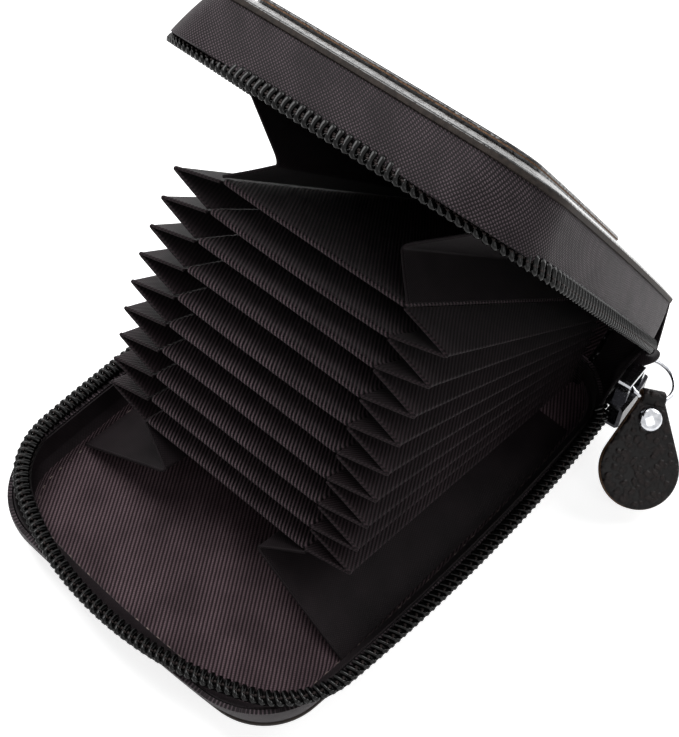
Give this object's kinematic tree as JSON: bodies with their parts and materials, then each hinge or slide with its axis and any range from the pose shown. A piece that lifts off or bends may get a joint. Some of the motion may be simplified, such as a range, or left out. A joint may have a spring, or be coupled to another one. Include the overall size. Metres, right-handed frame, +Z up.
{
  "type": "zip-around card case",
  "caption": "Zip-around card case standing open: two leather trays with cloth walls and a coil zip, a concertina of card pockets between them, and a slider with ring and leather pull.",
  "frame": {"origin": "middle of the case's flat underside, on the surface it lies on", "axes": "+X across the case to its right side (the slider's side), +Y to the spine, -Y to the mouth, +Z up out of the base tray"},
  "size_m": [0.1009, 0.1324, 0.0978],
  "materials": {
    "shell_leather": "pebbled, semi-gloss black",
    "stiffener_board": "matt grey board",
    "twill_lining": "dark brown twill",
    "woven_band": "fine dark oxford weave",
    "zip_tape": "matt black knitted tape",
    "zip_coil": "glossy black nylon",
    "twill_pocket": "dark brown twill over card",
    "slider_metal": "black enamel",
    "bright_metal": "polished nickel",
    "pull_leather": "pebbled black with brown cut edges"
  },
  "bodies": {
    "base": {"leather_base": "shell_leather", "board_base": "stiffener_board", "lining_base": "twill_lining", "band_base": "woven_band", "tape_base": "zip_tape", "coil_base": "zip_coil", "gusset_base_left": "twill_pocket", "gusset_base_right": "twill_pocket"},
    "cover": {"leather_cover": "shell_leather", "leather_spine": "shell_leather", "board_cover": "stiffener_board", "lining_cover": "twill_lining", "lining_spine": "twill_lining", "band_cover": "woven_band", "tape_cover": "zip_tape", "coil_cover": "zip_coil", "pocket_cover": "shell_leather", "gusset_cover_left": "twill_pocket", "gusset_cover_right": "twill_pocket"},
    "divider_10": {"divider_10": "twill_pocket"},
    "divider_09": {"divider_09": "twill_pocket", "pleat_left_09": "twill_pocket", "pleat_right_09": "twill_pocket"},
    "divider_08": {"divider_08": "twill_pocket", "pleat_left_08": "twill_pocket", "pleat_right_08": "twill_pocket"},
    "divider_07": {"divider_07": "twill_pocket", "pleat_left_07": "twill_pocket", "pleat_right_07": "twill_pocket"},
    "divider_06": {"divider_06": "twill_pocket", "pleat_left_06": "twill_pocket", "pleat_right_06": "twill_pocket"},
    "divider_05": {"divider_05": "twill_pocket", "pleat_left_05": "twill_pocket", "pleat_right_05": "twill_pocket"},
    "divider_04": {"divider_04": "twill_pocket", "pleat_left_04": "twill_pocket", "pleat_right_04": "twill_pocket"},
    "divider_03": {"divider_03": "twill_pocket", "pleat_left_03": "twill_pocket", "pleat_right_03": "twill_pocket"},
    "divider_02": {"divider_02": "twill_pocket", "pleat_left_02": "twill_pocket", "pleat_right_02": "twill_pocket"},
    "divider_01": {"divider_01": "twill_pocket", "pleat_left_01": "twill_pocket", "pleat_right_01": "twill_pocket"},
    "slider": {"slider_body": "slider_metal", "slider_bridge": "bright_metal"},
    "ring": {"pull_ring": "bright_metal"},
    "pull": {"pull_leather": "pull_leather", "pull_rivet": "bright_metal"}
  },
  "joints": [
    {"name": "cover_fold", "type": "hinge", "parent": "base", "child": "cover", "pos_m": [0, 0.054, 0.0007], "axis": [-1, 0, 0], "range_deg": [-49, 41], "deforming": ["gusset_cover_left", "gusset_cover_right"]},
    {"name": "divider_10_fold", "type": "hinge", "parent": "base", "child": "divider_10", "pos_m": [0, 0.0495, 0.0037], "axis": [-1, 0, 0], "range_deg": [-12.11, 10.13], "deforming": ["gusset_base_left", "gusset_base_right"]},
    {"name": "divider_09_fold", "type": "hinge", "parent": "divider_10", "child": "divider_09", "pos_m": [0, 0.04991, 0.00561], "axis": [-1, 0, 0], "range_deg": [-2.77, 2.32], "deforming": ["pleat_left_09", "pleat_right_09"]},
    {"name": "divider_08_fold", "type": "hinge", "parent": "divider_09", "child": "divider_08", "pos_m": [0, 0.05041, 0.0075], "axis": [-1, 0, 0], "range_deg": [-2.77, 2.32], "deforming": ["pleat_left_08", "pleat_right_08"]},
    {"name": "divider_07_fold", "type": "hinge", "parent": "divider_08", "child": "divider_07", "pos_m": [0, 0.051, 0.00937], "axis": [-1, 0, 0], "range_deg": [-2.77, 2.32], "deforming": ["pleat_left_07", "pleat_right_07"]},
    {"name": "divider_06_fold", "type": "hinge", "parent": "divider_07", "child": "divider_06", "pos_m": [0, 0.05168, 0.0112], "axis": [-1, 0, 0], "range_deg": [-2.77, 2.32], "deforming": ["pleat_left_06", "pleat_right_06"]},
    {"name": "divider_05_fold", "type": "hinge", "parent": "divider_06", "child": "divider_05", "pos_m": [0, 0.05245, 0.013], "axis": [-1, 0, 0], "range_deg": [-2.77, 2.32], "deforming": ["pleat_left_05", "pleat_right_05"]},
    {"name": "divider_04_fold", "type": "hinge", "parent": "divider_05", "child": "divider_04", "pos_m": [0, 0.0533, 0.01476], "axis": [-1, 0, 0], "range_deg": [-2.77, 2.32], "deforming": ["pleat_left_04", "pleat_right_04"]},
    {"name": "divider_03_fold", "type": "hinge", "parent": "divider_04", "child": "divider_03", "pos_m": [0, 0.05424, 0.01647], "axis": [-1, 0, 0], "range_deg": [-2.77, 2.32], "deforming": ["pleat_left_03", "pleat_right_03"]},
    {"name": "divider_02_fold", "type": "hinge", "parent": "divider_03", "child": "divider_02", "pos_m": [0, 0.05526, 0.01814], "axis": [-1, 0, 0], "range_deg": [-2.77, 2.32], "deforming": ["pleat_left_02", "pleat_right_02"]},
    {"name": "divider_01_fold", "type": "hinge", "parent": "divider_02", "child": "divider_01", "pos_m": [0, 0.05636, 0.01976], "axis": [-1, 0, 0], "range_deg": [-2.77, 2.32], "deforming": ["pleat_left_01", "pleat_right_01"]},
    {"name": "slider_slide", "type": "slide", "parent": "base", "child": "slider", "axis": [0.0802, -0.9968, 0], "range_m": [0, 0.032]},
    {"name": "ring_swing", "type": "hinge", "parent": "slider", "child": "ring", "pos_m": [0.03928, 0.04649, 0.0174], "axis": [0.8311, -0.5227, -0.1898], "range_deg": [-8, 40]},
    {"name": "pull_swing", "type": "hinge", "parent": "ring", "child": "pull", "pos_m": [0.04466, 0.04675, 0.01621], "axis": [-0.7812, -0.6016, 0.1668], "range_deg": [-2, 100]}
  ],
  "couplings": [
    {"joint": "divider_10_fold", "follows": "cover_fold", "ratio": 0.24694},
    {"joint": "divider_09_fold", "follows": "cover_fold", "ratio": 0.056236},
    {"joint": "divider_08_fold", "follows": "cover_fold", "ratio": 0.056236},
    {"joint": "divider_07_fold", "follows": "cover_fold", "ratio": 0.056236},
    {"joint": "divider_06_fold", "follows": "cover_fold", "ratio": 0.056236},
    {"joint": "divider_05_fold", "follows": "cover_fold", "ratio": 0.056236},
    {"joint": "divider_04_fold", "follows": "cover_fold", "ratio": 0.056236},
    {"joint": "divider_03_fold", "follows": "cover_fold", "ratio": 0.056236},
    {"joint": "divider_02_fold", "follows": "cover_fold", "ratio": 0.056236},
    {"joint": "divider_01_fold", "follows": "cover_fold", "ratio": 0.056236}
  ]
}
